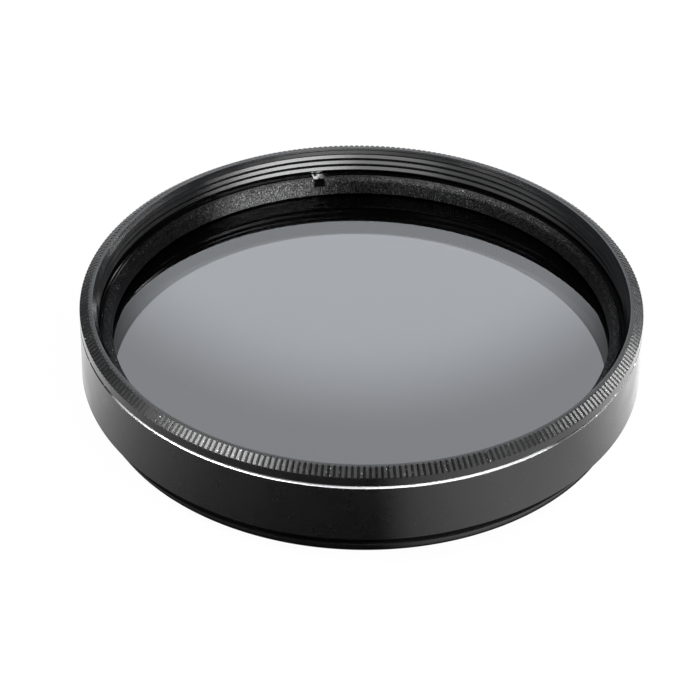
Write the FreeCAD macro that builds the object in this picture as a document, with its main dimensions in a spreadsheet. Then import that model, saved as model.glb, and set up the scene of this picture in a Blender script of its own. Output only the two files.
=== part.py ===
import FreeCAD, Part
import os
import Sketcher

# Two-inch telescope moon filter: a turned cell, a grey glass disc and the ring that holds it.
# The optical axis is Z. The filter stands on the end of its male thread, at Z = 0.

doc = FreeCAD.newDocument("moon_filter")
sheet = doc.addObject("Spreadsheet::Sheet", "sizes")

SIZES = [
    # Filter thread, male below and female above, left plain
    ("thread_radius", 24.0),
    ("thread_depth", 0.6),
    ("thread_reach", 2.35),
    ("lead_width", 0.45),
    ("end_chamfer", 0.4),
    ("relief_height", 0.4),
    ("relief_depth", 0.2),
    # Outside of the cell, heights from the bottom up and widths from the thread out
    ("shoulder_height", 2.4),
    ("body_height", 5.5),
    ("line_height", 0.3),
    ("line_depth", 0.2),
    ("band_height", 0.85),
    ("bevel_height", 0.55),
    ("bevel_width", 0.75),
    ("rim_width", 0.4),
    ("edge_break", 0.1),
    # Knurl teeth, cut along the bevel
    ("tooth_count", 308),
    ("tooth_cut_depth", 0.12),
    ("tooth_cut_width", 0.24),
    ("cut_mouth", 0.06),
    ("cut_overrun", 0.3),
    # Glass and its seat
    ("pocket_step", 0.45),
    ("glass_thickness", 1.5),
    ("glass_chamfer", 0.15),
    ("glass_below_rim", 4.2),
    ("glass_clearance", 0.05),
    ("pocket_margin", 0.25),
    ("seat_width", 1.3),
    # Retaining ring
    ("ring_height", 1.7),
    ("ring_grip", 1.3),
    ("ring_chamfer_width", 0.12),
    ("ring_chamfer_height", 0.2),
    ("notch_width", 1.1),
    ("notch_depth", 0.65),
    ("ring_turn", 100.7),
]

# Radii and heights worked out from the sizes
PLACES = [
    ("ground", "=0"),
    ("axis", "=0"),
    ("body_top", "=shoulder_height + body_height"),
    ("line_middle", "=body_top + line_height / 2"),
    ("band_foot", "=body_top + line_height"),
    ("bevel_foot", "=band_foot + band_height"),
    ("rim_top", "=bevel_foot + bevel_height"),
    ("end_radius", "=thread_radius - end_chamfer"),
    ("crest_radius", "=thread_radius - thread_depth"),
    ("mouth_radius", "=crest_radius + lead_width"),
    ("rim_radius", "=mouth_radius + rim_width"),
    ("body_radius", "=rim_radius + bevel_width"),
    ("line_radius", "=body_radius - line_depth"),
    ("edge_radius", "=body_radius - edge_break"),
    ("edge_top", "=shoulder_height + edge_break"),
    ("lead_foot", "=rim_top - lead_width"),
    ("thread_foot", "=rim_top - thread_reach"),
    ("relief_radius", "=thread_radius + relief_depth"),
    ("relief_foot", "=thread_foot - relief_height"),
    ("glass_top", "=rim_top - glass_below_rim"),
    ("glass_foot", "=glass_top - glass_thickness"),
    ("pocket_radius", "=thread_radius - pocket_step"),
    ("glass_radius", "=pocket_radius - glass_clearance"),
    ("glass_edge_radius", "=glass_radius - glass_chamfer"),
    ("glass_edge_top", "=glass_top - glass_chamfer"),
    ("glass_edge_foot", "=glass_foot + glass_chamfer"),
    ("pocket_top", "=glass_top - pocket_margin"),
    ("bore_radius", "=glass_radius - seat_width"),
    ("ring_bore_radius", "=glass_radius - ring_grip"),
    ("ring_chamfer_radius", "=ring_bore_radius + ring_chamfer_width"),
    ("ring_chamfer_top", "=glass_top + ring_chamfer_height"),
    ("ring_top", "=glass_top + ring_height"),
    ("notch_foot", "=ring_top - notch_depth"),
    ("notch_left", "=-notch_width / 2"),
    ("notch_right", "=notch_width / 2"),
    ("bevel_middle_radius", "=body_radius - bevel_width / 2"),
    ("bevel_middle_height", "=bevel_foot + bevel_height / 2"),
    ("bevel_tilt", "=atan(bevel_height / bevel_width)"),
    ("cut_reach", "=sqrt(bevel_height ^ 2 + bevel_width ^ 2) / 2 + cut_overrun"),
    ("cut_spread", "=cut_reach * cos(bevel_tilt) / bevel_middle_radius"),
    ("cut_half_width", "=tooth_cut_width / 2 * (1 + cut_mouth / tooth_cut_depth)"),
    ("outer_root", "=-tooth_cut_depth * (1 + cut_spread)"),
    ("outer_mouth", "=cut_mouth * (1 + cut_spread)"),
    ("outer_left", "=-cut_half_width * (1 + cut_spread)"),
    ("outer_right", "=cut_half_width * (1 + cut_spread)"),
    ("inner_root", "=-tooth_cut_depth * (1 - cut_spread)"),
    ("inner_mouth", "=cut_mouth * (1 - cut_spread)"),
    ("inner_left", "=-cut_half_width * (1 - cut_spread)"),
    ("inner_right", "=cut_half_width * (1 - cut_spread)"),
]

for row, (name, entry) in enumerate(SIZES + PLACES, start=1):
    sheet.set(f"A{row}", name)
    sheet.set(f"B{row}", str(entry))
    sheet.setAlias(f"B{row}", name)
doc.recompute()


def size(name):
    return float(getattr(sheet, name))


def origin_feature(body, role):
    return next(feature for feature in body.Origin.OriginFeatures if feature.Role == role)


def outline_sketch(body, label, plane, corners):
    """Closed outline of straight runs through corners, each named by its place across and up."""
    sketch = body.newObject("Sketcher::SketchObject", label)
    sketch.AttachmentSupport = [(origin_feature(body, plane), "")]
    sketch.MapMode = "FlatFace"
    points = [FreeCAD.Vector(size(across), size(up), 0) for across, up in corners]
    for i, point in enumerate(points):
        sketch.addGeometry(Part.LineSegment(point, points[(i + 1) % len(points)]), False)
    for i in range(len(points)):
        sketch.addConstraint(Sketcher.Constraint("Coincident", i, 2, (i + 1) % len(points), 1))
    for i, (across, up) in enumerate(corners):
        for kind, name in (("DistanceX", across), ("DistanceY", up)):
            index = sketch.addConstraint(Sketcher.Constraint(kind, -1, 1, i, 1, size(name)))
            sketch.setExpression(f"Constraints[{index}]", f"sizes.{name}")
    return sketch


def turned(label, corners):
    """Body turned about the optical axis from its half section."""
    body = doc.addObject("PartDesign::Body", label)
    section = outline_sketch(body, f"{label}_section", "XZ_Plane", corners)
    turn = body.newObject("PartDesign::Revolution", f"{label}_turn")
    turn.Profile = section
    turn.ReferenceAxis = (section, ["V_Axis"])
    turn.Angle = 360.0
    doc.recompute()
    return body


def tooth_section(body, end, reach):
    """V section of a tooth cut, square to the bevel and a reach along it from its middle.

    It grows with its distance from the tip of the bevel's cone, so the cut's edges are straight.
    """
    sketch = outline_sketch(body, f"tooth_cut_{end}", "YZ_Plane", [
        ("axis", f"{end}_root"),
        (f"{end}_right", f"{end}_mouth"),
        (f"{end}_left", f"{end}_mouth"),
    ])
    tilt = FreeCAD.Rotation(FreeCAD.Vector(1, 0, 0), size("bevel_tilt"))
    sketch.AttachmentOffset = FreeCAD.Placement(FreeCAD.Vector(), tilt)
    height = f"sizes.bevel_middle_height - {reach} * sin(sizes.bevel_tilt)"
    radius = f"sizes.bevel_middle_radius + {reach} * cos(sizes.bevel_tilt)"
    sketch.setExpression("AttachmentOffset.Rotation.Angle", "sizes.bevel_tilt")
    sketch.setExpression("AttachmentOffset.Base.y", height)
    sketch.setExpression("AttachmentOffset.Base.z", radius)
    return sketch


def make_cell():
    """The cell, turned from one bar, with knurl teeth cut along the bevel of its rim."""
    body = turned("filter_cell", [
        ("bore_radius", "ground"),
        ("end_radius", "ground"),
        ("thread_radius", "end_chamfer"),
        ("thread_radius", "shoulder_height"),
        ("edge_radius", "shoulder_height"),
        ("body_radius", "edge_top"),
        ("body_radius", "body_top"),
        ("line_radius", "line_middle"),
        ("body_radius", "band_foot"),
        ("body_radius", "bevel_foot"),
        ("rim_radius", "rim_top"),
        ("mouth_radius", "rim_top"),
        ("crest_radius", "lead_foot"),
        ("crest_radius", "thread_foot"),
        ("relief_radius", "thread_foot"),
        ("relief_radius", "relief_foot"),
        ("thread_radius", "relief_foot"),
        ("thread_radius", "pocket_top"),
        ("pocket_radius", "pocket_top"),
        ("pocket_radius", "glass_foot"),
        ("bore_radius", "glass_foot"),
    ])
    blank_volume = body.Shape.Volume
    cut = body.newObject("PartDesign::SubtractiveLoft", "tooth_cut")
    cut.Profile = tooth_section(body, "outer", "sizes.cut_reach")
    cut.Sections = [tooth_section(body, "inner", "-sizes.cut_reach")]
    cut.Ruled = True
    teeth = body.newObject("PartDesign::PolarPattern", "teeth")
    teeth.Originals = [cut]
    teeth.Axis = (origin_feature(body, "Z_Axis"), [""])
    teeth.Angle = 360.0
    teeth.setExpression("Occurrences", "sizes.tooth_count")
    body.Tip = teeth
    doc.recompute()
    if body.Shape.Volume >= blank_volume:
        raise RuntimeError("the tooth cuts miss the bevel")
    return body


def make_glass():
    """The grey glass disc, with its edges broken."""
    return turned("filter_glass", [
        ("axis", "glass_foot"),
        ("glass_edge_radius", "glass_foot"),
        ("glass_radius", "glass_edge_foot"),
        ("glass_radius", "glass_edge_top"),
        ("glass_edge_radius", "glass_top"),
        ("axis", "glass_top"),
    ])


def make_ring():
    """The threaded ring over the glass, with a spanner notch on each side."""
    body = turned("retaining_ring", [
        ("ring_chamfer_radius", "glass_top"),
        ("thread_radius", "glass_top"),
        ("thread_radius", "ring_top"),
        ("ring_bore_radius", "ring_top"),
        ("ring_bore_radius", "ring_chamfer_top"),
    ])
    section = outline_sketch(body, "notch_section", "YZ_Plane", [
        ("notch_left", "notch_foot"),
        ("notch_right", "notch_foot"),
        ("notch_right", "rim_top"),
        ("notch_left", "rim_top"),
    ])
    cut = body.newObject("PartDesign::Pocket", "notches")
    cut.Profile = section
    cut.Midplane = True
    cut.setExpression("Length", "4 * sizes.thread_radius")
    turn = FreeCAD.Rotation(FreeCAD.Vector(0, 0, 1), size("ring_turn"))
    body.Placement = FreeCAD.Placement(FreeCAD.Vector(), turn)
    body.setExpression("Placement.Rotation.Angle", "sizes.ring_turn")
    doc.recompute()
    return body


pieces = [make_cell(), make_glass(), make_ring()]
doc.recompute()

for item in doc.Objects:
    if "Invalid" in item.State or "Error" in item.State:
        raise RuntimeError(f"{item.Label} failed: {item.State}")
os.makedirs("parts", exist_ok=True)
for piece in pieces:
    if not piece.Shape.isValid() or len(piece.Shape.Solids) != 1:
        raise RuntimeError(f"{piece.Label} is not one sound solid")
    piece.Shape.exportStep(f"parts/{piece.Label}.step")
    print(piece.Label, piece.Shape.Volume, piece.Shape.BoundBox)
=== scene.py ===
import bpy
import math
from mathutils import Matrix


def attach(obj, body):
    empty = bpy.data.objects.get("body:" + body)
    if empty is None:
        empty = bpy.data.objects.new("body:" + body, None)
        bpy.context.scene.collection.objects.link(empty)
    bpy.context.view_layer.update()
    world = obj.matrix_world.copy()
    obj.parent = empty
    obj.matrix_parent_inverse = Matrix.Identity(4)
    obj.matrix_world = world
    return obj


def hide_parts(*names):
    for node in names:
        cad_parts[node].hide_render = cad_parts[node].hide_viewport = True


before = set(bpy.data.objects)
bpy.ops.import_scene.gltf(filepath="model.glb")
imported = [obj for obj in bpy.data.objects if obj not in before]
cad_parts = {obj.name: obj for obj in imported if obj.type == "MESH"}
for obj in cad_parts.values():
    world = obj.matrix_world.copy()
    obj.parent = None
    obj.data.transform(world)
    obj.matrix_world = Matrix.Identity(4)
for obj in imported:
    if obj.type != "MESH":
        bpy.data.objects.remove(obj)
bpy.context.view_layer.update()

# Two-inch moon filter: knurled black cell, grey glass, notched retaining ring
# Sizes of the pieces are in millimetres, as on the drawing, and MM turns them into metres
MM = 0.001
TOOTH_COUNT = 308
COLUMNS_PER_TOOTH = 4
CELL_COLUMNS = TOOTH_COUNT * COLUMNS_PER_TOOTH
RING_COLUMNS = 480
GLASS_COLUMNS = 360

# Outside of the cell
BODY_RADIUS = 25.0
SHOULDER = 2.4
EDGE_BREAK = 0.1
LINE_RADIUS = 24.8
LINE_FOOT = 7.9
LINE_MIDDLE = 8.05
LINE_TOP = 8.2
LINE_INSET = 0.05
BEVEL_FOOT = 9.05
RIM_TOP = 9.6
RIM_OUTER_RADIUS = 24.25
GROOVE_RIM_RADIUS = 24.047
GROOVE_DROP = 0.149

# Threads
THREAD_PITCH = 0.645
THREAD_STEPS = 308
THREAD_BURIED = 0.035
RIDGE_CORNERS = 4
RIDGE_ROOT_WIDTH = 0.62
RIDGE_CREST_WIDTH = 0.1
RUNOUT_STEPS = 40
FEMALE_ROOT_RADIUS = 23.6
FEMALE_CREST_RADIUS = 23.4
FEMALE_FOOT = 7.2
FEMALE_TOP = 9.05
FIRST_FEMALE_CREST = 7.26
FEMALE_TURNS = 2.55
MALE_ROOT_RADIUS = 23.62
MALE_CREST_RADIUS = 24.0
MALE_FOOT = 0.12
MALE_END_RADIUS = 23.5
FIRST_MALE_CREST = 0.45
MALE_TURNS = 2.6

# Inside of the cell
MOUTH_RADIUS = 23.85
LEAD_EDGE_RADIUS = 23.72
LEAD_EDGE = 9.47
LEAD_STEP = 0.08
LEAD_FOOT_RADIUS = 23.5
LEAD_FOOT = 9.17
RELIEF_RADIUS = 24.2
RELIEF_FOOT = 6.9
RING_THREAD_RADIUS = 24.0
RING_THREAD_TOP = 6.85
POCKET_RADIUS = 23.55
POCKET_TOP = 5.15
BORE_RADIUS = 22.2

# Glass and retaining ring
GLASS_FOOT = 3.9
GLASS_TOP = 5.4
GLASS_RADIUS = 23.5
GLASS_CHAMFER = 0.15
RING_RADIUS = 23.9
RING_SHOULDER = 6.78
RING_TOP = 7.1
RING_CROWN_RADIUS = 22.95
RING_REBATE = 0.2
# Rounded inner edge of the ring, as steps in from the crown and down from the top
RING_ROUNDING = ((0.35, 0.02), (0.59, 0.1), (0.68, 0.17), (0.735, 0.28))
RING_WALL_TOP = 6.7
NOTCH_WIDTH = 1.1
NOTCH_FOOT = 6.45
NOTCH_END_RADIUS = 23.57
NOTCH_OVERCUT = 1.03
NOTCH_AZIMUTH = math.radians(100.7)

# Modelling
MERGE_DISTANCE = 0.0005
ROW_TOLERANCE = 0.01
FLOOR_TOLERANCE = 0.02
SMOOTH_ANGLE = math.radians(28)
# Least share of a face's normal along a direction that the face looks in, and of a ramp's normal upwards
FACING = 0.9
RAMP_FACING = 0.5
# Material slots, in the order in which a piece gets its finishes
LINE_SLOT = 1
WORN_SLOT = 1
SATIN_SLOT = 2

# Finishes, with patterns as waves a metre and fades in millimetres
SKIN_IOR = 1.75
SKIN_DARK = (0.0018, 0.0018, 0.002, 1)
SKIN_LIGHT = (0.0036, 0.0036, 0.0039, 1)
BARE_METAL = (0.91, 0.91, 0.92, 1)
RUBBED_METAL = (0.5, 0.5, 0.51, 1)
LATHE_MARKS = 22000.0
LATHE_DETAIL = 3.0
SKIN_GRIT = 11000.0
GRIT_DETAIL = 2.0
SKIN_BLOTCHES = 320.0
BLOTCH_DETAIL = 4.0
WEAR_SPECKS = 5200.0
SPECK_DETAIL = 5.0
SPECK_EDGE = 0.04
# Noise keeps near its middle, so finishes run from their one end to their other between these levels
NOISE_LOW = 0.3
NOISE_HIGH = 0.7
GRAIN_FROM = 0.38
GRAIN_FULL = 0.48
GLINT_FROM = 0.54
GLINT_FULL = 0.68
FINISH_FADE = 0.1
QUARTER_TURN = 0.25

LINE_SPECKS = 1500.0
LINE_BARE_SHARE = 0.4
LINE_TRACE_STRENGTH = 0.7
LINE_SMOOTHEST = 0.3
LINE_ROUGHEST = 0.42
LINE_RELIEF = 0.001
# Arc round the front where the line is painted bare metal as a painted highlight; at the sides it stays
# black as painted shade
LINE_HIGHLIGHT_START = math.radians(-57)
LINE_HIGHLIGHT_END = math.radians(40)
LINE_HIGHLIGHT_FADE = math.radians(3)
NOTCH_SPECKS = 2600.0
NOTCH_BARE_SHARE = 0.56
NOTCH_SMOOTHEST = 0.45
NOTCH_ROUGHEST = 0.6
NOTCH_RELIEF = 0.02

GLASS_IOR = 1.52
GLASS_DARK = (0.182, 0.188, 0.201, 1)
GLASS_LIGHT = (0.189, 0.196, 0.209, 1)
GLASS_SMEARS = 110.0
SMEAR_FROM = 0.45
SMEAR_FULL = 0.75
SMEAR_ROUGHNESS = 0.03

# Studio, with the glowing card of painted reflection in millimetres and all else in metres
FLOOR_SIZE = 6
FLOOR_COLOUR = (0.85, 0.85, 0.85, 1)
FLOOR_WHITE_SHARE = 0.97
CARD_COLUMNS = 96
CARD_RADIUS = 48.0
CARD_LIFT = 0.1
CARD_INNER_RADIUS = 23.6
CARD_INNER_FADE = 0.5
CARD_PAINTED_SHADE_LEVEL = 0.03
CARD_PAINTED_BRIGHTEST = 2.2
# The card's painted reflection level by degrees round from the front, the right side positive: low before
# the filter as painted shadow, high behind
CARD_PAINTED_LEVELS = (
    (-180, 1.0), (-125, 1.0), (-112, 1.6), (-100, 1.65), (-84, 1.2), (-72, 0.74), (-60, 0.5),
    (-48, 0.33), (-36, 0.18), (-24, 0.11), (-12, 0.055), (5, 0.035), (13, 0.46), (24, 0.72),
    (36, 0.86), (60, 0.84), (72, 1.15), (84, 1.7), (100, 2.15), (112, 2.0), (125, 1.0), (180, 1.0),
)
SCREEN_DIRECTION = (0.0, 0.8526, 0.5225)
SCREEN_INNER_ANGLE = math.radians(5.0)
SCREEN_OUTER_ANGLE = math.radians(6.8)
HALO_OUTER_ANGLE = math.radians(16)
SCREEN_LEVEL = 2.05
HALO_LEVEL = 0.6
ROOM_LEVEL = 0.12
ROOM_TINT = (0.96, 1.0, 1.05, 1)
LAMP_DISTANCE = 0.6
CAMERA_PLACE = (0, -0.241635, 0.184515)
CAMERA_TILT = math.radians(53.172)
CAMERA_ROLL = math.radians(-0.763)
CAMERA_SWING = math.radians(0.799)
CAMERA_LENS = 172.87
CAMERA_SENSOR = 36
CAMERA_NEAREST = 0.01


# Modelling by hand

def start_piece():
    """Leaves edit mode and deselects everything, before a new piece or step."""
    if bpy.context.object and bpy.context.object.mode != "OBJECT":
        bpy.ops.object.mode_set(mode="OBJECT")
    bpy.ops.object.select_all(action="DESELECT")


def pick(piece, test):
    """Selects only the points of a piece that pass the test, ready for an edit-mode tool."""
    bpy.ops.object.mode_set(mode="EDIT")
    bpy.ops.mesh.select_mode(type="VERT")
    bpy.ops.mesh.select_all(action="DESELECT")
    bpy.ops.object.mode_set(mode="OBJECT")
    for vertex in piece.data.vertices:
        vertex.select = test(vertex)
    bpy.ops.object.mode_set(mode="EDIT")


def at_row(vertex, radius, height):
    """Whether a point lies on the turned row of that radius and height, in millimetres."""
    off_radius = math.hypot(vertex.co.x, vertex.co.y) - radius * MM
    off_height = vertex.co.z - height * MM
    return math.hypot(off_radius, off_height) < ROW_TOLERANCE * MM


def turn_rows(name, rows, columns):
    """Circle at the first row, extruded and scaled from row to row up the section."""
    start_piece()
    radius, height = rows[0]
    bpy.ops.mesh.primitive_circle_add(vertices=columns, radius=radius * MM, fill_type="NOTHING")
    piece = bpy.context.object
    piece.name = name
    piece.data.name = name
    bpy.ops.object.mode_set(mode="EDIT")
    bpy.ops.mesh.select_all(action="SELECT")
    bpy.ops.transform.translate(value=(0, 0, height * MM))
    for next_radius, next_height in rows[1:]:
        rise = (0, 0, (next_height - height) * MM)
        bpy.ops.mesh.extrude_region_move(TRANSFORM_OT_translate={"value": rise})
        grow = next_radius / radius
        bpy.ops.transform.resize(value=(grow, grow, 1), center_override=(0, 0, next_height * MM))
        radius, height = next_radius, next_height
    return piece


def close_section():
    """Merges the last row of the piece in edit mode into the first and turns every face outwards."""
    bpy.ops.mesh.select_all(action="SELECT")
    bpy.ops.mesh.remove_doubles(threshold=MERGE_DISTANCE * MM)
    bpy.ops.mesh.normals_make_consistent(inside=False)
    bpy.ops.object.mode_set(mode="OBJECT")


def use_modifier(piece, modifier):
    """Applies a modifier, so that its result is the piece's own mesh."""
    bpy.context.view_layer.objects.active = piece
    bpy.ops.object.modifier_apply(modifier=modifier.name)


def combine(piece, tool, operation):
    """Joins a tool shape into a piece or cuts it out, and throws the tool away."""
    start_piece()
    modifier = piece.modifiers.new("combine", "BOOLEAN")
    modifier.operation = operation
    modifier.solver = "EXACT"
    modifier.object = tool
    piece.select_set(True)
    use_modifier(piece, modifier)
    bpy.data.objects.remove(tool)


def smooth_faces(piece):
    """Shades a piece smooth, apart from its sharp edges."""
    start_piece()
    piece.select_set(True)
    bpy.context.view_layer.objects.active = piece
    bpy.ops.object.shade_smooth_by_angle(angle=SMOOTH_ANGLE)


def thread_coil(name, root_radius, crest_radius, first_crest, turns):
    """Ridge of a filter thread, wound up the axis, with both ends sunk into the wall."""
    buried_radius = root_radius + math.copysign(THREAD_BURIED, root_radius - crest_radius)
    start_piece()
    bpy.ops.mesh.primitive_plane_add(size=1)
    coil = bpy.context.object
    coil.name = name
    bpy.ops.object.mode_set(mode="EDIT")
    bpy.ops.mesh.select_all(action="SELECT")
    bpy.ops.transform.rotate(value=math.pi / 2, orient_axis="X", center_override=(0, 0, 0))
    depth = abs(crest_radius - buried_radius) * MM
    bpy.ops.transform.resize(value=(depth, 1, RIDGE_ROOT_WIDTH * MM), center_override=(0, 0, 0))
    middle = (crest_radius + buried_radius) / 2 * MM
    bpy.ops.transform.translate(value=(middle, 0, first_crest * MM))
    pick(coil, lambda vertex: abs(vertex.co.x - crest_radius * MM) < depth / 2)
    narrow = RIDGE_CREST_WIDTH / RIDGE_ROOT_WIDTH
    bpy.ops.transform.resize(value=(1, 1, narrow), center_override=(0, 0, first_crest * MM))
    bpy.ops.object.mode_set(mode="OBJECT")
    winding = coil.modifiers.new("winding", "SCREW")
    winding.axis = "Z"
    winding.angle = turns * 2 * math.pi
    winding.screw_offset = turns * THREAD_PITCH * MM
    winding.steps = round(turns * THREAD_STEPS)
    winding.render_steps = winding.steps
    use_modifier(coil, winding)
    last_ring = len(coil.data.vertices) - RIDGE_CORNERS
    for step in range(RUNOUT_STEPS):
        share = (1 - step / RUNOUT_STEPS) ** 2
        sink = 1 + share * (buried_radius / crest_radius - 1)
        for first in (step * RIDGE_CORNERS, last_ring - step * RIDGE_CORNERS):
            pick(coil, lambda vertex: first <= vertex.index < first + RIDGE_CORNERS)
            bpy.ops.transform.resize(value=(sink, sink, 1), center_override=(0, 0, 0))
    for first in (0, last_ring):
        pick(coil, lambda vertex: first <= vertex.index < first + RIDGE_CORNERS)
        bpy.ops.mesh.edge_face_add()
    close_section()
    return coil


# Filter cell

def groove_column(vertex):
    """Whether a point stands on the middle of a knurl groove."""
    column = math.atan2(vertex.co.x, vertex.co.y) / (2 * math.pi) * CELL_COLUMNS
    return round(column) % COLUMNS_PER_TOOTH == 0


def make_cell():
    """The cell turned from its section, with knurl grooves on the bevel and both threads."""
    rows = [
        (BORE_RADIUS, 0.0),
        (MALE_END_RADIUS, 0.0),
        (MALE_ROOT_RADIUS, MALE_FOOT),
        (MALE_ROOT_RADIUS, SHOULDER),
        (BODY_RADIUS - EDGE_BREAK, SHOULDER),
        (BODY_RADIUS, SHOULDER + EDGE_BREAK),
        (BODY_RADIUS, LINE_FOOT),
        (LINE_RADIUS, LINE_MIDDLE),
        (BODY_RADIUS, LINE_TOP),
        (BODY_RADIUS, BEVEL_FOOT),
        (RIM_OUTER_RADIUS, RIM_TOP),
        (MOUTH_RADIUS, RIM_TOP),
        (LEAD_EDGE_RADIUS, LEAD_EDGE),
        (LEAD_EDGE_RADIUS, LEAD_EDGE - LEAD_STEP),
        (LEAD_FOOT_RADIUS, LEAD_FOOT),
        (FEMALE_ROOT_RADIUS, FEMALE_TOP),
        (FEMALE_ROOT_RADIUS, FEMALE_FOOT),
        (RELIEF_RADIUS, FEMALE_FOOT),
        (RELIEF_RADIUS, RELIEF_FOOT),
        (RING_THREAD_RADIUS, RING_THREAD_TOP),
        (RING_THREAD_RADIUS, POCKET_TOP),
        (POCKET_RADIUS, POCKET_TOP),
        (POCKET_RADIUS, GLASS_FOOT),
        (BORE_RADIUS, GLASS_FOOT),
        (BORE_RADIUS, 0.0),
    ]
    cell = turn_rows("knurled_cell", rows, CELL_COLUMNS)
    close_section()
    pick(cell, lambda vertex: at_row(vertex, RIM_OUTER_RADIUS, RIM_TOP) and groove_column(vertex))
    cut_in = GROOVE_RIM_RADIUS / RIM_OUTER_RADIUS
    bpy.ops.transform.resize(value=(cut_in, cut_in, 1), center_override=(0, 0, RIM_TOP * MM))
    pick(cell, lambda vertex: at_row(vertex, BODY_RADIUS, BEVEL_FOOT) and groove_column(vertex))
    bpy.ops.transform.translate(value=(0, 0, -GROOVE_DROP * MM))
    bpy.ops.object.mode_set(mode="OBJECT")
    female = thread_coil(
        "female_turns", FEMALE_ROOT_RADIUS, FEMALE_CREST_RADIUS, FIRST_FEMALE_CREST, FEMALE_TURNS)
    combine(cell, female, "UNION")
    male = thread_coil(
        "male_turns", MALE_ROOT_RADIUS, MALE_CREST_RADIUS, FIRST_MALE_CREST, MALE_TURNS)
    combine(cell, male, "UNION")
    smooth_faces(cell)
    return cell


# Retaining ring

def make_ring():
    """The ring turned from its section, with a bar's ends cut out of it as the two notches."""
    rows = [
        (BORE_RADIUS + RING_REBATE, GLASS_TOP),
        (RING_RADIUS, GLASS_TOP),
        (RING_RADIUS, RING_SHOULDER),
        (RING_CROWN_RADIUS, RING_TOP),
        *((RING_CROWN_RADIUS - inward, RING_TOP - down) for inward, down in RING_ROUNDING),
        (BORE_RADIUS, RING_WALL_TOP),
        (BORE_RADIUS, GLASS_TOP + RING_REBATE),
        (BORE_RADIUS + RING_REBATE, GLASS_TOP + RING_REBATE),
        (BORE_RADIUS + RING_REBATE, GLASS_TOP),
    ]
    ring = turn_rows("notched_ring", rows, RING_COLUMNS)
    close_section()
    start_piece()
    bpy.ops.mesh.primitive_cube_add(size=1)
    bar = bpy.context.object
    bpy.ops.object.mode_set(mode="EDIT")
    bpy.ops.mesh.select_all(action="SELECT")
    length = 2 * NOTCH_END_RADIUS * MM
    height = 2 * (RING_TOP - NOTCH_FOOT) * MM
    bpy.ops.transform.resize(value=(length, NOTCH_WIDTH * MM, height), center_override=(0, 0, 0))
    pick(bar, lambda vertex: vertex.co.z > 0)
    ramp = (NOTCH_END_RADIUS + RING_TOP - NOTCH_FOOT) / NOTCH_END_RADIUS * NOTCH_OVERCUT
    bpy.ops.transform.resize(value=(ramp, 1, 1), center_override=(0, 0, 0))
    bpy.ops.mesh.select_all(action="SELECT")
    bpy.ops.transform.rotate(value=-NOTCH_AZIMUTH, orient_axis="Z", center_override=(0, 0, 0))
    bpy.ops.transform.translate(value=(0, 0, RING_TOP * MM))
    bpy.ops.object.mode_set(mode="OBJECT")
    combine(ring, bar, "DIFFERENCE")
    smooth_faces(ring)
    return ring


# Glass

def make_glass():
    """The disc, with its edges broken and both faces closed."""
    edge_radius = GLASS_RADIUS - GLASS_CHAMFER
    rows = [
        (edge_radius, GLASS_FOOT),
        (GLASS_RADIUS, GLASS_FOOT + GLASS_CHAMFER),
        (GLASS_RADIUS, GLASS_TOP - GLASS_CHAMFER),
        (edge_radius, GLASS_TOP),
    ]
    glass = turn_rows("grey_glass_disc", rows, GLASS_COLUMNS)
    bpy.ops.mesh.edge_face_add()
    pick(glass, lambda vertex: at_row(vertex, edge_radius, GLASS_FOOT))
    bpy.ops.mesh.edge_face_add()
    close_section()
    smooth_faces(glass)
    return glass


# Shared effects for the finishes

def calculate(tree, operation, first, second=None, third=None):
    """Math node whose inputs are sockets or plain numbers."""
    node = tree.nodes.new("ShaderNodeMath")
    node.operation = operation
    for index, value in enumerate((first, second, third)):
        if isinstance(value, (int, float)):
            node.inputs[index].default_value = value
        elif value is not None:
            tree.links.new(value, node.inputs[index])
    return node.outputs[0]


def ease(tree, value, low, high, to_low=0.0, to_high=1.0):
    """Smooth step of a value, from to_low at low to to_high at high."""
    node = tree.nodes.new("ShaderNodeMapRange")
    node.interpolation_type = "SMOOTHSTEP"
    tree.links.new(value, node.inputs["Value"])
    for socket, number in zip(("From Min", "From Max", "To Min", "To Max"), (low, high, to_low, to_high)):
        node.inputs[socket].default_value = number
    return node.outputs["Result"]


def turn_from_front(tree, parts):
    """Angle round the optical axis, from the front towards the right, by the parts of a place."""
    toward = calculate(tree, "MULTIPLY", parts.outputs["Y"], -1.0)
    return calculate(tree, "ARCTAN2", parts.outputs["X"], toward)


def new_group(name, inputs, outputs):
    """Empty node group with a Vector input, further number inputs and number outputs."""
    group = bpy.data.node_groups.new(name, "ShaderNodeTree")
    group.interface.new_socket(name="Vector", in_out="INPUT", socket_type="NodeSocketVector")
    for socket in inputs:
        group.interface.new_socket(name=socket, in_out="INPUT", socket_type="NodeSocketFloat")
    for socket in outputs:
        group.interface.new_socket(name=socket, in_out="OUTPUT", socket_type="NodeSocketFloat")
    return group, group.nodes.new("NodeGroupInput").outputs, group.nodes.new("NodeGroupOutput").inputs


def cloud(group, vector, scale, detail):
    """Noise at a scale that comes from a socket, in waves a metre."""
    noise = group.nodes.new("ShaderNodeTexNoise")
    noise.inputs["Detail"].default_value = detail
    group.links.new(scale, noise.inputs["Scale"])
    group.links.new(vector, noise.inputs["Vector"])
    return noise.outputs["Fac"]


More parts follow.
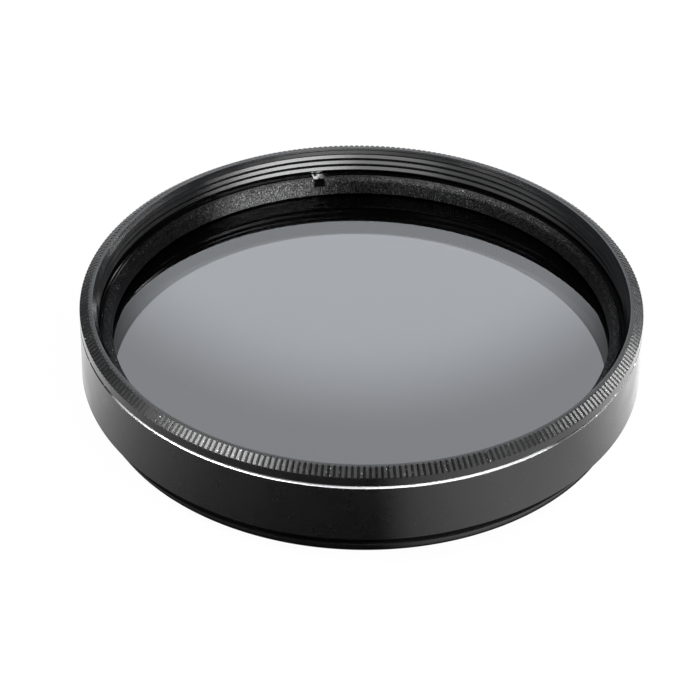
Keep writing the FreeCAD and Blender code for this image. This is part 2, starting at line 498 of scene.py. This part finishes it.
def turning_group():
    """Where a point is on the lathe: its radius, its turn from the front, and the tool's fine marks."""
    group, given, wanted = new_group("turning", ["Marks per metre"], ["Marks", "Radius", "Turn"])
    parts = group.nodes.new("ShaderNodeSeparateXYZ")
    group.links.new(given["Vector"], parts.inputs[0])
    across = calculate(group, "MULTIPLY", parts.outputs["X"], parts.outputs["X"])
    square = calculate(group, "MULTIPLY_ADD", parts.outputs["Y"], parts.outputs["Y"], across)
    radius = calculate(group, "SQRT", square)
    along = calculate(group, "ADD", radius, parts.outputs["Z"])
    marks = group.nodes.new("ShaderNodeTexNoise")
    marks.noise_dimensions = "1D"
    marks.inputs["Detail"].default_value = LATHE_DETAIL
    group.links.new(along, marks.inputs["W"])
    group.links.new(given["Marks per metre"], marks.inputs["Scale"])
    group.links.new(marks.outputs["Fac"], wanted["Marks"])
    group.links.new(radius, wanted["Radius"])
    group.links.new(turn_from_front(group, parts), wanted["Turn"])
    return group


def grain_group():
    """Fine grit of an anodised or blasted skin, and the slow blotches of handling."""
    group, given, wanted = new_group("grain", ["Grit per metre", "Blotches per metre"], ["Grit", "Blotches"])
    grit = cloud(group, given["Vector"], given["Grit per metre"], GRIT_DETAIL)
    blotches = cloud(group, given["Vector"], given["Blotches per metre"], BLOTCH_DETAIL)
    group.links.new(grit, wanted["Grit"])
    group.links.new(blotches, wanted["Blotches"])
    return group


def wear_group():
    """Specks where the black skin is rubbed through to bright metal, more of them with Share."""
    group, given, wanted = new_group("wear", ["Specks per metre", "Share"], ["Bare"])
    specks = cloud(group, given["Vector"], given["Specks per metre"], SPECK_DETAIL)
    limit = calculate(group, "SUBTRACT", 1.0, given["Share"])
    over = calculate(group, "SUBTRACT", specks, limit)
    group.links.new(ease(group, over, 0.0, SPECK_EDGE), wanted["Bare"])
    return group


def place_group(tree, group, **numbers):
    """The effect in a material, on Object coordinates, with its own numbers."""
    node = tree.nodes.new("ShaderNodeGroup")
    node.node_tree = group
    place = tree.nodes.new("ShaderNodeTexCoord")
    tree.links.new(place.outputs["Object"], node.inputs["Vector"])
    for socket, number in numbers.items():
        node.inputs[socket.replace("_", " ")].default_value = number
    return node


# Materials

def new_material(name):
    """Material with its own nodes, and its shader."""
    material = bpy.data.materials.new(name)
    material.use_nodes = True
    return material, material.node_tree.nodes["Principled BSDF"]


def blend_colours(tree, share, first, second):
    """Mix of two colours by a share, the first a socket or a plain colour."""
    mix = tree.nodes.new("ShaderNodeMix")
    mix.data_type = "RGBA"
    tree.links.new(share, mix.inputs["Factor"])
    if isinstance(first, tuple):
        mix.inputs["A"].default_value = first
    else:
        tree.links.new(first, mix.inputs["A"])
    mix.inputs["B"].default_value = second
    return mix.outputs["Result"]


def add_relief(tree, shader, height, depth):
    """Bump of a height from 0 to 1, with its full depth in millimetres."""
    bump = tree.nodes.new("ShaderNodeBump")
    bump.inputs["Distance"].default_value = depth * MM
    tree.links.new(height, bump.inputs["Height"])
    tree.links.new(bump.outputs["Normal"], shader.inputs["Normal"])


def black_skin(
        name, turning, grain, wear, smoothest, roughest, relief, grit_share, bare_share,
        worn_from, worn_beyond, polish_inside=1.0, calm_inside=1.0, brushed=0.0, glint=0.0):
    """Black anodised aluminium: lathe marks, grit and blotches, with specks rubbed bright.

    The specks lie above the height worn_from and outside the radius worn_beyond. Inside the mouth
    the roughness and the relief are cut by polish_inside and calm_inside. A brushed skin is drawn
    out round the axis, and glint is how bright its grit's peaks are.
    """
    material, shader = new_material(name)
    tree = material.node_tree
    shader.inputs["IOR"].default_value = SKIN_IOR
    lathe = place_group(tree, turning, Marks_per_metre=LATHE_MARKS)
    skin = place_group(tree, grain, Grit_per_metre=SKIN_GRIT, Blotches_per_metre=SKIN_BLOTCHES)
    rubbed = place_group(tree, wear, Specks_per_metre=WEAR_SPECKS, Share=bare_share)
    radius, grit, blotches = lathe.outputs["Radius"], skin.outputs["Grit"], skin.outputs["Blotches"]
    parts = tree.nodes.new("ShaderNodeSeparateXYZ")
    place = tree.nodes.new("ShaderNodeTexCoord")
    tree.links.new(place.outputs["Object"], parts.inputs[0])
    high = ease(tree, parts.outputs["Z"], worn_from * MM, (worn_from + FINISH_FADE) * MM)
    outer = ease(tree, radius, worn_beyond * MM, (worn_beyond + FINISH_FADE) * MM)
    exposed = calculate(tree, "MULTIPLY", high, outer)
    bare = calculate(tree, "MULTIPLY", rubbed.outputs["Bare"], exposed)
    bright, metal = bare, bare
    if glint:
        peaks = ease(tree, grit, GLINT_FROM, GLINT_FULL, 0.0, glint)
        grains = ease(tree, grit, GRAIN_FROM, GRAIN_FULL)
        bright = calculate(tree, "MAXIMUM", bare, peaks)
        metal = calculate(tree, "MAXIMUM", bare, grains)
    tone = blend_colours(tree, blotches, SKIN_DARK, SKIN_LIGHT)
    tree.links.new(blend_colours(tree, bright, tone, BARE_METAL), shader.inputs["Base Color"])
    tree.links.new(metal, shader.inputs["Metallic"])
    mouth = MOUTH_RADIUS * MM
    rim = (MOUTH_RADIUS + FINISH_FADE) * MM
    rough = ease(tree, blotches, NOISE_LOW, NOISE_HIGH, smoothest, roughest)
    polish = ease(tree, radius, mouth, rim, polish_inside, 1.0)
    tree.links.new(calculate(tree, "MULTIPLY", rough, polish), shader.inputs["Roughness"])
    height = calculate(tree, "ADD", lathe.outputs["Marks"], calculate(tree, "MULTIPLY", grit, grit_share))
    calm = ease(tree, radius, mouth, rim, calm_inside, 1.0)
    add_relief(tree, shader, calculate(tree, "MULTIPLY", height, calm), relief)
    if brushed:
        shader.inputs["Anisotropic"].default_value = brushed
        shader.inputs["Anisotropic Rotation"].default_value = QUARTER_TURN
        around = tree.nodes.new("ShaderNodeTangent")
        around.direction_type = "RADIAL"
        around.axis = "Z"
        tree.links.new(around.outputs["Tangent"], shader.inputs["Tangent"])
    return material


def turned_line_with_painted_highlight(name, turning, grain, wear):
    """The turned groove line: bare metal round the front only, as a painted highlight, and black at the
    sides as painted shade, broken there by rubbed traces of bare metal.
    """
    material, shader = new_material(name)
    tree = material.node_tree
    shader.inputs["IOR"].default_value = SKIN_IOR
    lathe = place_group(tree, turning, Marks_per_metre=LATHE_MARKS)
    rubbed = place_group(tree, wear, Specks_per_metre=LINE_SPECKS, Share=LINE_BARE_SHARE)
    skin = place_group(tree, grain, Grit_per_metre=SKIN_GRIT, Blotches_per_metre=SKIN_BLOTCHES)
    turn = lathe.outputs["Turn"]
    # Bare metal only inside the arc round the front: painted highlight there, painted shade outside
    from_left = ease(tree, turn, LINE_HIGHLIGHT_START - LINE_HIGHLIGHT_FADE, LINE_HIGHLIGHT_START + LINE_HIGHLIGHT_FADE)
    from_right = ease(tree, turn, LINE_HIGHLIGHT_END - LINE_HIGHLIGHT_FADE, LINE_HIGHLIGHT_END + LINE_HIGHLIGHT_FADE, 1.0, 0.0)
    painted_front_highlight = calculate(tree, "MULTIPLY", from_left, from_right)
    traces = calculate(tree, "MULTIPLY", rubbed.outputs["Bare"], LINE_TRACE_STRENGTH)
    bare = calculate(tree, "MAXIMUM", painted_front_highlight, traces)
    tree.links.new(blend_colours(tree, bare, SKIN_DARK, BARE_METAL), shader.inputs["Base Color"])
    tree.links.new(bare, shader.inputs["Metallic"])
    rough = ease(tree, skin.outputs["Grit"], NOISE_LOW, NOISE_HIGH, LINE_SMOOTHEST, LINE_ROUGHEST)
    tree.links.new(rough, shader.inputs["Roughness"])
    add_relief(tree, shader, lathe.outputs["Marks"], LINE_RELIEF)
    return material


def worn_notch(name, grain, wear):
    """Notch faces that a spanner has rubbed nearly bare."""
    material, shader = new_material(name)
    tree = material.node_tree
    rubbed = place_group(tree, wear, Specks_per_metre=NOTCH_SPECKS, Share=NOTCH_BARE_SHARE)
    skin = place_group(tree, grain, Grit_per_metre=SKIN_GRIT, Blotches_per_metre=SKIN_BLOTCHES)
    bare = rubbed.outputs["Bare"]
    tree.links.new(blend_colours(tree, bare, SKIN_LIGHT, RUBBED_METAL), shader.inputs["Base Color"])
    tree.links.new(bare, shader.inputs["Metallic"])
    rough = ease(tree, skin.outputs["Blotches"], NOISE_LOW, NOISE_HIGH, NOTCH_SMOOTHEST, NOTCH_ROUGHEST)
    tree.links.new(rough, shader.inputs["Roughness"])
    add_relief(tree, shader, skin.outputs["Grit"], NOTCH_RELIEF)
    return material


def grey_glass(name, grain):
    """Neutral grey glass, dyed right through, with faint smears from cleaning."""
    material, shader = new_material(name)
    tree = material.node_tree
    shader.inputs["IOR"].default_value = GLASS_IOR
    shader.inputs["Transmission Weight"].default_value = 1.0
    film = place_group(tree, grain, Grit_per_metre=SKIN_GRIT, Blotches_per_metre=GLASS_SMEARS)
    smears = film.outputs["Blotches"]
    tree.links.new(blend_colours(tree, smears, GLASS_DARK, GLASS_LIGHT), shader.inputs["Base Color"])
    rough = ease(tree, smears, SMEAR_FROM, SMEAR_FULL, 0.0, SMEAR_ROUGHNESS)
    tree.links.new(rough, shader.inputs["Roughness"])
    return material


def finish_pieces(cell, ring, glass):
    """Gives every piece its finishes, in the order of the material slots."""
    turning = turning_group()
    grain = grain_group()
    wear = wear_group()
    satin = black_skin(
        "satin_black_anodise", turning, grain, wear,
        smoothest=0.25, roughest=0.31, relief=0.002, grit_share=0.4, bare_share=0.32,
        worn_from=9.0, worn_beyond=24.15, polish_inside=0.55, calm_inside=0.2)
    matte = black_skin(
        "matte_black_anodise", turning, grain, wear,
        smoothest=0.45, roughest=0.51, relief=0.004, grit_share=1.0, bare_share=0.31,
        worn_from=6.9, worn_beyond=BORE_RADIUS, brushed=1.0, glint=0.28)
    cell.data.materials.append(satin)
    cell.data.materials.append(turned_line_with_painted_highlight("turned_line_painted_highlight", turning, grain, wear))
    ring.data.materials.append(matte)
    ring.data.materials.append(worn_notch("spanner_worn_notch", grain, wear))
    ring.data.materials.append(satin)
    glass.data.materials.append(grey_glass("neutral_grey_glass", grain))


def paint_line(cell):
    """Gives the lower flank of the turned groove the line finish, whose bare metal round the front is a
    painted highlight.
    """
    for face in cell.data.polygons:
        across = math.hypot(face.center.x, face.center.y)
        low = LINE_FOOT * MM < face.center.z < LINE_MIDDLE * MM
        if low and LINE_RADIUS * MM < across < (BODY_RADIUS - LINE_INSET) * MM:
            face.material_index = LINE_SLOT


def paint_notches(ring):
    """Gives the notches their finishes, and the shoulder outside the crown the satin one.

    Ramps and far sides are worn, floors and near sides satin.
    """
    for face in ring.data.polygons:
        across = math.hypot(face.center.x, face.center.y)
        onward = (face.normal.y * face.center.x - face.normal.x * face.center.y) / across
        outside_crown = across > RING_CROWN_RADIUS * MM
        level = face.normal.z > FACING
        on_ramp = RAMP_FACING < face.normal.z < FACING and outside_crown
        on_floor = level and abs(face.center.z - NOTCH_FOOT * MM) < FLOOR_TOLERANCE * MM
        if on_ramp or onward > FACING:
            face.material_index = WORN_SLOT
        elif on_floor or (level and outside_crown) or onward < -FACING:
            face.material_index = SATIN_SLOT


# Stage

def make_floor():
    """Floor that takes the shadow, and is white to the camera, in the shine and through the glass."""
    start_piece()
    bpy.ops.mesh.primitive_plane_add(size=FLOOR_SIZE)
    floor = bpy.context.object
    floor.name = "floor"
    material, shader = new_material("pale_floor")
    tree = material.node_tree
    shader.inputs["Base Color"].default_value = FLOOR_COLOUR
    shader.inputs["Roughness"].default_value = 1.0
    shader.inputs["Specular IOR Level"].default_value = 0.0
    white = tree.nodes.new("ShaderNodeEmission")
    white.inputs["Color"].default_value = (1, 1, 1, 1)
    white.inputs["Strength"].default_value = 1.0
    rays = tree.nodes.new("ShaderNodeLightPath")
    to_camera = calculate(tree, "MULTIPLY", rays.outputs["Is Camera Ray"], FLOOR_WHITE_SHARE)
    in_shine = calculate(tree, "MAXIMUM", rays.outputs["Is Glossy Ray"], rays.outputs["Is Transmission Ray"])
    mix = tree.nodes.new("ShaderNodeMixShader")
    tree.links.new(calculate(tree, "MAXIMUM", to_camera, in_shine), mix.inputs["Fac"])
    tree.links.new(shader.outputs[0], mix.inputs[1])
    tree.links.new(white.outputs[0], mix.inputs[2])
    tree.links.new(mix.outputs[0], tree.nodes["Material Output"].inputs["Surface"])
    floor.data.materials.append(material)


def make_painted_reflection_card():
    """Round glowing card under the filter, seen only in the cell's shine: a painted reflection of the floor,
    dark before the filter as painted shadow and bright behind, with painted shade inside the bore.
    """
    start_piece()
    bpy.ops.mesh.primitive_circle_add(vertices=CARD_COLUMNS, radius=CARD_RADIUS * MM, fill_type="NGON")
    card = bpy.context.object
    card.name = "painted_reflection_card"
    bpy.ops.object.mode_set(mode="EDIT")
    bpy.ops.mesh.select_all(action="SELECT")
    bpy.ops.transform.translate(value=(0, 0, CARD_LIFT * MM))
    bpy.ops.object.mode_set(mode="OBJECT")
    material = new_material("painted_reflection_glow")[0]
    tree = material.node_tree
    place = tree.nodes.new("ShaderNodeTexCoord")
    parts = tree.nodes.new("ShaderNodeSeparateXYZ")
    tree.links.new(place.outputs["Object"], parts.inputs[0])
    round_share = calculate(tree, "MULTIPLY_ADD", turn_from_front(tree, parts), 0.5 / math.pi, 0.5)
    shades = tree.nodes.new("ShaderNodeValToRGB")
    tree.links.new(round_share, shades.inputs["Fac"])
    stops = shades.color_ramp.elements
    for degrees, _ in CARD_PAINTED_LEVELS[1:-1]:
        stops.new(degrees / 360 + 0.5)
    for stop, (_, level) in zip(stops, CARD_PAINTED_LEVELS):
        share = level / CARD_PAINTED_BRIGHTEST
        stop.color = (share, share, share, 1)
    radius = tree.nodes.new("ShaderNodeVectorMath")
    radius.operation = "LENGTH"
    tree.links.new(place.outputs["Object"], radius.inputs[0])
    # Painted shade: the card glows only faintly inside the filter's footprint, so the bore mirrors black
    outside = ease(
        tree, radius.outputs["Value"], CARD_INNER_RADIUS * MM, (CARD_INNER_RADIUS + CARD_INNER_FADE) * MM,
        CARD_PAINTED_SHADE_LEVEL, CARD_PAINTED_BRIGHTEST)
    glow = tree.nodes.new("ShaderNodeEmission")
    tree.links.new(outside, glow.inputs["Strength"])
    tree.links.new(shades.outputs["Color"], glow.inputs["Color"])
    tree.links.new(glow.outputs[0], tree.nodes["Material Output"].inputs["Surface"])
    card.data.materials.append(material)
    card.visible_camera = False
    card.visible_diffuse = False
    card.visible_transmission = False
    card.visible_shadow = False


def make_world():
    """Dim room, with a round white screen low behind the filter that its glass mirrors."""
    world = bpy.data.worlds.new("studio")
    bpy.context.scene.world = world
    world.use_nodes = True
    tree = world.node_tree
    direction = tree.nodes.new("ShaderNodeTexCoord")
    toward_screen = tree.nodes.new("ShaderNodeVectorMath")
    toward_screen.operation = "DOT_PRODUCT"
    toward_screen.inputs[1].default_value = SCREEN_DIRECTION
    tree.links.new(direction.outputs["Generated"], toward_screen.inputs[0])
    nearness = toward_screen.outputs["Value"]
    edge = math.cos(SCREEN_OUTER_ANGLE)
    halo = ease(tree, nearness, math.cos(HALO_OUTER_ANGLE), edge, ROOM_LEVEL, ROOM_LEVEL + HALO_LEVEL)
    screen = ease(tree, nearness, edge, math.cos(SCREEN_INNER_ANGLE), 0.0, SCREEN_LEVEL)
    background = tree.nodes["Background"]
    background.inputs["Color"].default_value = ROOM_TINT
    tree.links.new(calculate(tree, "ADD", halo, screen), background.inputs["Strength"])


def softbox(name, aim, width, height, radiance, roll=0.0, distance=LAMP_DISTANCE):
    """Softbox seen from the filter in the direction aim, facing it, with sides in metres."""
    start_piece()
    place = [part * distance for part in aim]
    bpy.ops.object.light_add(type="AREA", location=place)
    lamp = bpy.context.object
    lamp.name = name
    lamp.data.shape = "RECTANGLE"
    lamp.data.size = width
    lamp.data.size_y = height
    lamp.data.energy = radiance * math.pi * width * height
    reach = math.sqrt(sum(part * part for part in aim))
    swing = Matrix.Rotation(math.atan2(aim[0], -aim[1]), 3, "Z")
    tilt = Matrix.Rotation(math.acos(aim[2] / reach), 3, "X")
    lamp.rotation_euler = (swing @ tilt @ Matrix.Rotation(roll, 3, "Z")).to_euler()
    lamp.visible_camera = False
    return lamp


def flag_off(lamp, pieces):
    """Keeps a lamp off some pieces, as a black flag on a stand would."""
    shade = bpy.data.collections.new(f"{lamp.name}_flag")
    for index, piece in enumerate(pieces):
        shade.objects.link(piece)
        shade.collection_objects[index].light_linking.link_state = "EXCLUDE"
    lamp.light_linking.receiver_collection = shade


def snoot_on(lamp, piece):
    """Lets a lamp reach one piece only, as a snoot or grid would."""
    pool = bpy.data.collections.new(f"{lamp.name}_pool")
    pool.objects.link(piece)
    lamp.light_linking.receiver_collection = pool


def make_lamps(ring, glass):
    """Softboxes round the filter: none shows in the glass, and the ring has two of its own."""
    front = softbox(
        "front_panel", aim=(0.12, -0.45, 0.88), width=0.7, height=0.5, radiance=0.2, distance=0.7)
    key = softbox(
        "key_softbox", aim=(0.50, -0.53, 0.68), width=0.56, height=0.13, radiance=8.8,
        roll=math.radians(-17))
    wings = softbox("key_wings", aim=(0.08, -0.60, 0.78), width=0.90, height=0.13, radiance=2.2)
    overhead = softbox("overhead_panel", aim=(0.0, 0.30, 0.95), width=0.6, height=0.3, radiance=1.0)
    left = softbox(
        "left_panel", aim=(-0.70, -0.36, 0.62), width=0.70, height=0.16, radiance=0.65,
        roll=math.radians(21))
    left_top = softbox(
        "left_softbox", aim=(-0.50, -0.10, 0.86), width=0.26, height=0.10, radiance=24.0,
        roll=math.radians(38))
    right_back = softbox(
        "right_back_softbox", aim=(0.705, 0.42, 0.575), width=0.34, height=0.07, radiance=38.0,
        roll=math.radians(-45))
    for lamp in (front, overhead, left):
        flag_off(lamp, [glass])
    for lamp in (key, wings, left_top, right_back):
        flag_off(lamp, [glass, ring])
    wall = softbox("ring_softbox", aim=(0.65, -0.68, 0.34), width=0.42, height=0.40, radiance=17.5)
    snoot_on(wall, ring)
    crown = softbox("crown_panel", aim=(-0.24, 0.03, 0.97), width=0.80, height=0.30, radiance=3.6)
    snoot_on(crown, ring)


def make_camera():
    """Long lens from above the front, as in the photo."""
    start_piece()
    bpy.ops.object.camera_add(location=CAMERA_PLACE)
    camera = bpy.context.object
    camera.rotation_euler = (CAMERA_TILT, CAMERA_ROLL, CAMERA_SWING)
    camera.data.lens = CAMERA_LENS
    camera.data.sensor_width = CAMERA_SENSOR
    camera.data.clip_start = CAMERA_NEAREST
    bpy.context.scene.camera = camera


cell = make_cell()
ring = make_ring()
glass = make_glass()
finish_pieces(cell, ring, glass)
paint_line(cell)
paint_notches(ring)

for piece, node, slot in (
    (cell, "filter_cell", "cell_black"),
    (ring, "retaining_ring", "ring_black"),
    (glass, "filter_glass", "grey_glass"),
):
    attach(piece, "root")
    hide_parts(node)

make_floor()
# Glowing card seen only in reflections: a painted reflection of the floor's light and shadow
make_painted_reflection_card()
make_world()
make_lamps(ring, glass)
make_camera()

bpy.context.scene.view_settings.view_transform = "Standard"
